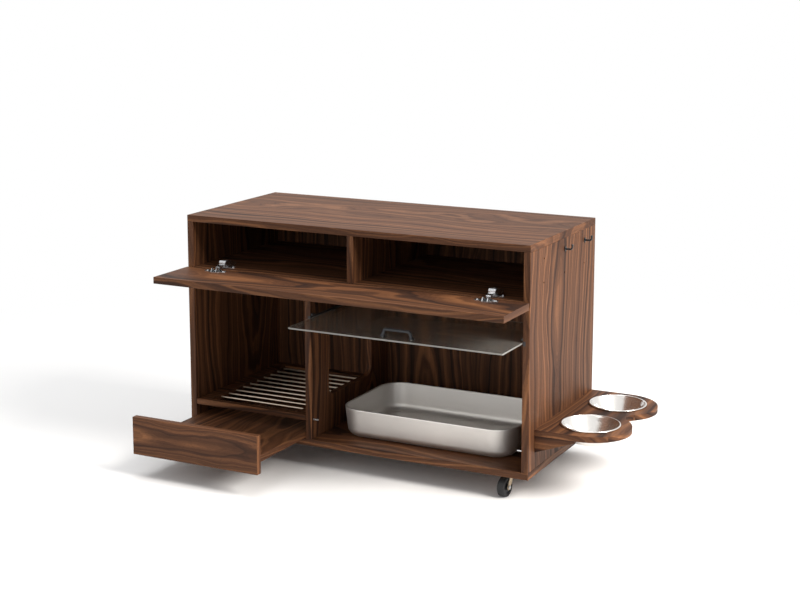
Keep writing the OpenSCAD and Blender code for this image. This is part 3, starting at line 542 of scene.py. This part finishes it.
# each board's body and grain, and where the heart of its log lay: metres along its face from the
# middle, and behind it; its place in the list seeds its noise
BOARDS = (
    ("top_board", "cabinet", "X", 0.05, 0.16),
    ("bottom_board", "cabinet", "X", -0.1, 0.2),
    ("left_side", "cabinet", "Z", 0.08, 0.13),
    ("right_side", "cabinet", "Z", -0.04, 0.14),
    ("back_panel", "cabinet", "Z", 0.02, 0.1),
    ("lower_divider", "cabinet", "Z", 0.1, 0.16),
    ("upper_shelf", "cabinet", "X", 0.12, 0.18),
    ("upper_divider", "cabinet", "Z", 0.06, 0.12),
    ("slat_frame", "cabinet", "X", 0.2, 0.15),
    ("feeder_board", "cabinet", "Y", 0.03, 0.1),
    ("feeder_brackets", "cabinet", "X", 0.1, 0.2),
    ("flap_panel", "flap", "X", 0.02, 0.12),
    ("drawer_front", "drawer", "X", 0.0, 0.05),
    ("catch_board", "drawer", "Y", 0.1, 0.15),
)


class CABINET_OT_boards(bpy.types.Operator):
    """Veneer every board of the case, the flap, the drawer and the feeder"""

    bl_idname = "cabinet.boards"
    bl_label = "Veneered boards"

    def execute(self, context):
        low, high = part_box("lower_divider")
        rim = on_rim(0)

        def cut_out(edge, *normals):
            """Picks the rim of the cat's way through the divider, well inside its own edges."""
            middle = (edge.verts[0].co + edge.verts[1].co) / 2
            inside = low.y + 20 * MM < middle.y < high.y - 20 * MM
            between = low.z + 90 * MM < middle.z < high.z - 60 * MM
            return inside and between and rim(edge, *normals)

        picks = {"lower_divider": cut_out, "feeder_board": on_rim(2)}
        for seed, (node, body, grain, shift, depth) in enumerate(BOARDS, 1):
            veneered(node, body, grain, seed, heart_behind(node, shift, depth), picks.get(node))
        return {"FINISHED"}


class CABINET_OT_slats(bpy.types.Operator):
    """Finish the round steel slats, the pins and screws, and the hidden dowels and locks"""

    bl_idname = "cabinet.slats"
    bl_label = "Slats and joinery"

    def execute(self, context):
        pale = np.array(context.scene.cabinet_wood.peg)
        tones = pale * 0.62, pale, np.minimum(pale * 1.22, 1)
        # turned beech, straight grain: pale and nearly plain
        beech = grained("turned_beech", "Z", 31, tones, (0.3, 0.2, 0.5), 0.7)
        copied("dowels", "turned", beech, "cabinet", "pale_hardwood")
        copied("slats", "ground", finish("ground_steel"), "cabinet", "zinc_steel")
        for node in ("frame_pins", "cam_locks", "stop_pins", "case_screws", "feeder_screws"):
            copied(node, "plated", finish("bright_zinc"), "cabinet", "zinc_steel")
        return {"FINISHED"}


class CABINET_OT_tray(bpy.types.Operator):
    """Draw the stainless litter tray with its rolled rim"""

    bl_idname = "cabinet.tray"
    bl_label = "Litter tray"

    def execute(self, context):
        low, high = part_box("litter_tray")
        middle, tall = (low + high) / 2, high.z - low.z
        half = np.array([(high.x - low.x) / 2, (high.y - low.y) / 2])
        corner, fillet = 64 * MM, 23 * MM
        bead, sheet, flare = 2.5 * MM, 1.2 * MM, 5 * MM
        # the section, in (distance outward from the corner centres, height): up the inside from
        # the floor, round the rolled rim, and down the outside
        lean = math.atan2(tall - bead, flare)
        turn = math.degrees(lean)
        foot = (
            corner - bead
            - (tall - bead - fillet * (1 - math.cos(lean))) / math.tan(lean)
            - fillet * math.sin(lean)
        )
        section = np.concatenate([
            arc((foot, fillet), fillet - sheet, -90, turn - 90, 9),
            arc((corner - bead, tall - bead), bead, 90 + turn, turn - 115, 15),
            arc((foot, fillet), fillet, turn - 90, -90, 9),
        ])
        # each line round the tray: its distance outward and height, and the share of their own
        # distance from the middle that its corner centres are drawn in to, 0 in the middle
        shares = np.array([0.0, 0.35, 0.7, 0.95])
        inside = np.stack([shares * foot, np.full(len(shares), sheet), shares], axis=-1)
        outside = np.stack([shares * foot, np.zeros(len(shares)), shares], axis=-1)[::-1]
        walls = np.column_stack([section, np.ones(len(section))])
        out, height, share = np.concatenate([inside, walls, outside]).T[..., None, None]
        # the line itself is four quarter circles about the corner centres
        steps = 16
        angle = np.radians(90 * np.arange(4)[:, None] + np.linspace(0, 90, steps)).ravel()
        circles = np.stack([np.cos(angle), np.sin(angle)], axis=-1)
        centres = np.repeat([[1, 1], [-1, 1], [-1, -1], [1, -1]], steps, axis=0) * (half - corner)
        flat = share * centres + out * circles
        points = np.concatenate([flat, height + 0 * flat[..., :1]], axis=-1)
        points += np.array([middle.x, middle.y, low.z])
        piece = grid("litter_tray_drawn", points, loop_v=True)
        piece.data.materials.append(finish("satin_stainless"))
        settle(piece, "tray", "satin_steel_tray", "litter_tray")
        return {"FINISHED"}


class CABINET_OT_bowls(bpy.types.Operator):
    """Spin the two stainless bowls"""

    bl_idname = "cabinet.bowls"
    bl_label = "Feeding bowls"

    def execute(self, context):
        bead, sheet = 2.2 * MM, 1.2 * MM
        floor, fillet, crown = 45 * MM, 8 * MM, 0.6 * MM
        flange, wall, shoulder = 5 * MM, 1.5 * MM, 3 * MM
        for node, body in (("bowl_front", "front_bowl"), ("bowl_rear", "rear_bowl")):
            low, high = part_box(node)
            middle = (low + high) / 2
            rim, tall = (high.x - low.x) / 2, high.z - low.z
            lip = tall - 2 * bead
            mouth = rim - flange - wall
            lean = math.degrees(math.atan2(lip - fillet / 2, mouth - floor))
            # the profile runs from the middle up the inside, round the bead, and down the outside
            crowned = [
                [0, sheet + crown], [floor * 0.55, sheet + 0.5 * MM], [floor * 0.75, sheet]
            ]
            under_flange = [[mouth + 1.4 * MM, lip], [mouth + 0.5 * MM, lip - 1 * MM]]
            profile = np.concatenate([
                crowned,
                arc((floor, fillet), fillet - sheet, -90, lean - 90, 7),
                arc((mouth - shoulder, lip - 2 * MM), shoulder, lean - 90, lean - 80, 2),
                arc((rim - bead, tall - bead), bead, 160, -90, 14),
                under_flange,
                arc((floor, fillet), fillet, lean - 90, -90, 7),
                [[0, 0]],
            ])
            points = turned(profile, (middle.x, middle.y, low.z))
            piece = grid(f"{node}_spun", points, loop_v=True)
            piece.data.materials.append(finish("buffed_stainless"))
            settle(piece, body, "satin_steel_tray", node)
        return {"FINISHED"}


class CABINET_OT_door(bpy.types.Operator):
    """Finish the clear door, its brackets, rollers, tracks and handle"""

    bl_idname = "cabinet.door"
    bl_label = "Acrylic door"

    def execute(self, context):
        shape = eased("acrylic_door", on_rim(2), 0.5 * MM)
        for face in shape.faces:
            face.material_index = int(abs(face.normal.z) <= SQUARE)
        mesh = bpy.data.meshes.new("acrylic_door_sheet")
        shape.to_mesh(mesh)
        shape.free()
        for name in ("cast_acrylic", "sawn_acrylic_edge"):
            mesh.materials.append(finish(name))
        sheet = bpy.data.objects.new("acrylic_door_sheet", mesh)
        settle(sheet, "door", "clear_acrylic", "acrylic_door")
        copied("pivot_brackets", "moulded", finish("moulded_abs"), "door", "black_plastic")
        copied("handle_screws", "plated", finish("bright_zinc"), "door", "zinc_steel")
        copied("door_tracks", "moulded", finish("moulded_abs"), "cabinet", "black_plastic")
        copied("door_rollers", "moulded", finish("natural_nylon"), "door_carrier", "nylon")
        self.handle()
        return {"FINISHED"}

    def handle(self):
        """The grip: a rod up from one flared foot, leaning inwards, round a bend, along, and the
        same back down."""
        low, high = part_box("door_handle")
        middle = (low + high) / 2
        rod, bend, lean = 4.0 * MM, 7 * MM, 15
        # height up the foot, in millimetres, and the rod's radius there
        foot = np.array([[0, 7.1], [1.2, 6.5], [2.6, 5.3], [4.4, 4.5], [7, 4.1], [9.5, rod / MM]])
        span = (high.x - low.x) / 2 - foot[0, 1] * MM
        top = high.z - low.z - rod
        rise = top - bend * (1 - math.sin(math.radians(lean)))
        climb = np.append(foot[:, 0], rise / MM) * MM
        # the leg leaves its foot's upright 1.5 mm up, and leans 1.13 times as much as the bend
        inward = np.maximum(climb - 1.5 * MM, 0) * math.tan(math.radians(lean)) * 1.13
        leg = np.stack([span - inward, climb], axis=-1)
        hub = leg[-1, 0] - bend * math.cos(math.radians(lean)), top - bend
        curve = arc(hub, bend, lean, 90, 12)[1:]
        right = np.concatenate([leg, curve])
        line = np.concatenate([right, right[::-1] * np.array([-1, 1])])
        feet = np.append(foot[:, 1] * MM, rod)
        radii = np.concatenate([feet, np.full(len(curve) * 2, rod), feet[::-1]])
        path = np.stack([line[:, 0], np.zeros(len(line)), line[:, 1]], axis=-1)
        points = bent_rod(path + np.array([middle.x, middle.y, low.z]), radii)
        piece = grid("door_handle_coated", points, loop_v=True)
        piece.data.materials.append(finish("powder_coat"))
        settle(piece, "door", "dark_grey_handle", "door_handle")


class CABINET_OT_hinges(bpy.types.Operator):
    """Finish the cup hinges of the flap, with the cross-head screws that hold and adjust them"""

    bl_idname = "cabinet.hinges"
    bl_label = "Flap hinges"

    def execute(self, context):
        for node in ("hinge_plates", "hinge_arms"):
            copied(node, "plated", finish("bright_zinc"), "cabinet", "zinc_steel")
        for node in ("hinge_cups", "hinge_links"):
            copied(node, "plated", finish("bright_zinc"), "flap", "zinc_steel")
        low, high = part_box("hinge_plates")
        cups_low, cups_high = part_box("hinge_cups")
        half_plate = 26 * MM
        front = low.y - 10 * MM  # the arm stands out past its plate
        # the plate's wing screws: out from the middle, along from the front, and up
        wing, wing_along, wing_top = 19 * MM, 32.5 * MM, 2.2 * MM
        ear = 24.3 * MM  # from the cup's middle to its screws
        arm_screws = (24, 19.6), (48, 15.4)  # along from the front and up to the head, in mm
        arm_floor = 9.1  # height of the arm's floor, where their shanks end, in mm
        fixed, swinging = [], []
        for centre in (low.x + half_plate, high.x - half_plate):
            for side in (-1, 1):
                at = centre + side * wing, front + wing_along, low.z + wing_top
                fixed.append(cross_head(at, 3.9 * MM, 1.8 * MM, 2.1 * MM))
                at = centre + side * ear, (cups_low.y + cups_high.y) / 2, cups_high.z
                swinging.append(cross_head(at, 3.6 * MM, 1.5 * MM, 1.1 * MM))
            for along, top in arm_screws:
                at = centre, front + along * MM, low.z + top * MM
                fixed.append(cross_head(at, 2.5 * MM, 1.4 * MM, (top - arm_floor) * MM))
        rows = ("hinge_screws", fixed, "cabinet"), ("cup_screws", swinging, "flap")
        for name, heads, body in rows:
            piece = grid(name, *heads, loop_v=True)
            piece.data.materials.append(finish("bright_zinc"))
            settle(piece, body, "zinc_steel")
        return {"FINISHED"}


class CABINET_OT_hooks(bpy.types.Operator):
    """Finish the two side hooks"""

    bl_idname = "cabinet.hooks"
    bl_label = "Hooks"

    def execute(self, context):
        copied("hooks", "moulded", finish("moulded_abs"), "cabinet", "black_plastic")
        return {"FINISHED"}


class CABINET_OT_castors(bpy.types.Operator):
    """Finish the four swivel castors and the drawer's glides"""

    bl_idname = "cabinet.castors"
    bl_label = "Castors and glides"

    def execute(self, context):
        copied("castor_plates", "plated", finish("bright_zinc"), "cabinet", "zinc_steel")
        for place in ("fl", "fr", "rl", "rr"):
            body, roller = f"castor_{place}", f"roller_{place}"
            fork = f"castor_fork_{place}"
            copied(fork, "pressed", finish("passivated_steel"), body, "fork_paint")
            copied(f"castor_axle_{place}", "plated", finish("bright_zinc"), body, "zinc_steel")
            copied(f"wheel_{place}", "moulded", finish("moulded_abs"), roller, "wheel_plastic")
            copied(f"tyre_{place}", "moulded", finish("moulded_rubber"), roller, "rubber_tyre")
        copied("drawer_glides", "moulded", finish("natural_nylon"), "drawer", "nylon")
        return {"FINISHED"}


# each lamp: its place from the cabinet's middle and its width in metres, its watts and its colour
LAMPS = {
    "key": ((3.8, -0.4, 2.7), 2.2, 320, "#fffaf4"),
    "fill": ((-0.8, -4.0, 1.4), 2.6, 22, "#fffcf8"),
    "top": ((-0.6, 0.2, 4.0), 2.8, 85, "#ffffff"),
}


class CABINET_OT_stage(bpy.types.Operator):
    """Build the floor, the soft lamps and the camera"""

    bl_idname = "cabinet.stage"
    bl_label = "Studio"

    def execute(self, context):
        scene = context.scene
        stage = scene.cabinet_stage
        scene.view_settings.view_transform = "Standard"
        reach, under = 40, 0.5 * MM
        ends = (-reach, reach)
        floor = grid("studio_floor", np.array([[[x, y, -under] for y in ends] for x in ends]))
        floor.data.materials.append(self.paper(stage))
        scene.collection.objects.link(floor)
        floor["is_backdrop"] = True
        self.sky(scene, stage)
        low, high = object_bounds()
        target = (low + high) / 2
        for name, (place, size, power, shade) in LAMPS.items():
            lamp = bpy.data.lights.new(name, "AREA")
            lamp.shape, lamp.size, lamp.energy, lamp.color = "DISK", size, power, linear(shade)
            thing = bpy.data.objects.new(name, lamp)
            thing.location = target + Vector(place)
            thing.rotation_euler = (target - thing.location).to_track_quat("-Z", "Y").to_euler()
            scene.collection.objects.link(thing)
        camera = bpy.data.cameras.new("camera")
        camera.lens, camera.sensor_width, camera.shift_y = stage.lens, 36, stage.shift
        camera.clip_start, camera.clip_end = 0.05, 200
        viewer = bpy.data.objects.new("camera", camera)
        viewer.location = stage.eye
        viewer.rotation_euler = (math.pi / 2 - stage.pitch, 0, stage.yaw)
        scene.collection.objects.link(viewer)
        scene.camera = viewer
        return {"FINISHED"}

    def paper(self, stage):
        """Matt paper that turns into plain white light some way off, so that no horizon shows."""
        material, tree, shader = fresh("matt_paper", Base_Color=tuple(stage.floor), Roughness=0.9)
        place = add(tree, "TexCoord").outputs["Object"]
        far = add(tree, "VectorMath", {0: place}, operation="LENGTH").outputs["Value"]
        fade = {"Value": far, "From Min": 0.9, "From Max": 2.4}
        share = add(tree, "MapRange", fade, interpolation_type="SMOOTHSTEP").outputs[0]
        glow = add(tree, "Emission", {"Color": (1, 1, 1), "Strength": 1.0}).outputs[0]
        ray = add(tree, "LightPath").outputs["Is Camera Ray"]
        both = add(tree, "Math", {0: share, 1: ray}, operation="MULTIPLY").outputs[0]
        mixed = add(tree, "MixShader", {0: both, 1: shader.outputs[0], 2: glow}).outputs[0]
        output = next(n for n in tree.nodes if n.type == "OUTPUT_MATERIAL")
        tree.links.new(mixed, output.inputs["Surface"])
        return material

    def sky(self, scene, stage):
        """Even light all round; the camera, reflections and clear pieces see plain white."""
        world = bpy.data.worlds.new("studio")
        world.use_nodes = True
        scene.world = world
        tree = world.node_tree
        tree.nodes.clear()
        path = add(tree, "LightPath")
        seen = path.outputs["Is Camera Ray"]
        for ray in ("Is Transmission Ray", "Is Glossy Ray"):
            inputs = {0: seen, 1: path.outputs[ray]}
            seen = add(tree, "Math", inputs, operation="MAXIMUM").outputs[0]
        levels = {"Value": seen, "To Min": stage.world, "To Max": 1.0}
        strength = add(tree, "MapRange", levels).outputs[0]
        light = add(tree, "Background", {"Color": (1, 1, 1), "Strength": strength})
        add(tree, "OutputWorld", {"Surface": light.outputs[0]})


class CABINET_PT_panel(bpy.types.Panel):
    """Lists the steps and their settings"""

    bl_idname = "CABINET_PT_panel"
    bl_label = "Litter cabinet"
    bl_space_type = "VIEW_3D"
    bl_region_type = "UI"
    bl_category = "Cabinet"

    def draw(self, context):
        column = self.layout.column(align=True)
        for step in STEPS:
            column.operator(step.bl_idname)
        for group in GROUPS:
            settings = getattr(context.scene, group)
            for name in settings.bl_rna.properties.keys():
                if name not in ("rna_type", "name"):
                    self.layout.prop(settings, name)


GROUPS = {
    "cabinet_wood": CabinetWood,
    "cabinet_fittings": CabinetFittings,
    "cabinet_stage": CabinetStage,
}
STEPS = (
    CABINET_OT_boards,
    CABINET_OT_slats,
    CABINET_OT_tray,
    CABINET_OT_bowls,
    CABINET_OT_door,
    CABINET_OT_hinges,
    CABINET_OT_hooks,
    CABINET_OT_castors,
    CABINET_OT_stage,
)
CLASSES = (*GROUPS.values(), *STEPS, CABINET_PT_panel)


def register():
    for kind in CLASSES:
        bpy.utils.register_class(kind)
    for name, kind in GROUPS.items():
        setattr(bpy.types.Scene, name, PointerProperty(type=kind))


def unregister():
    for name in GROUPS:
        delattr(bpy.types.Scene, name)
    for kind in reversed(CLASSES):
        bpy.utils.unregister_class(kind)


def main():
    register()
    for step in STEPS:
        area, verb = step.bl_idname.split(".")
        getattr(getattr(bpy.ops, area), verb)()


if __name__ == "__main__":
    main()
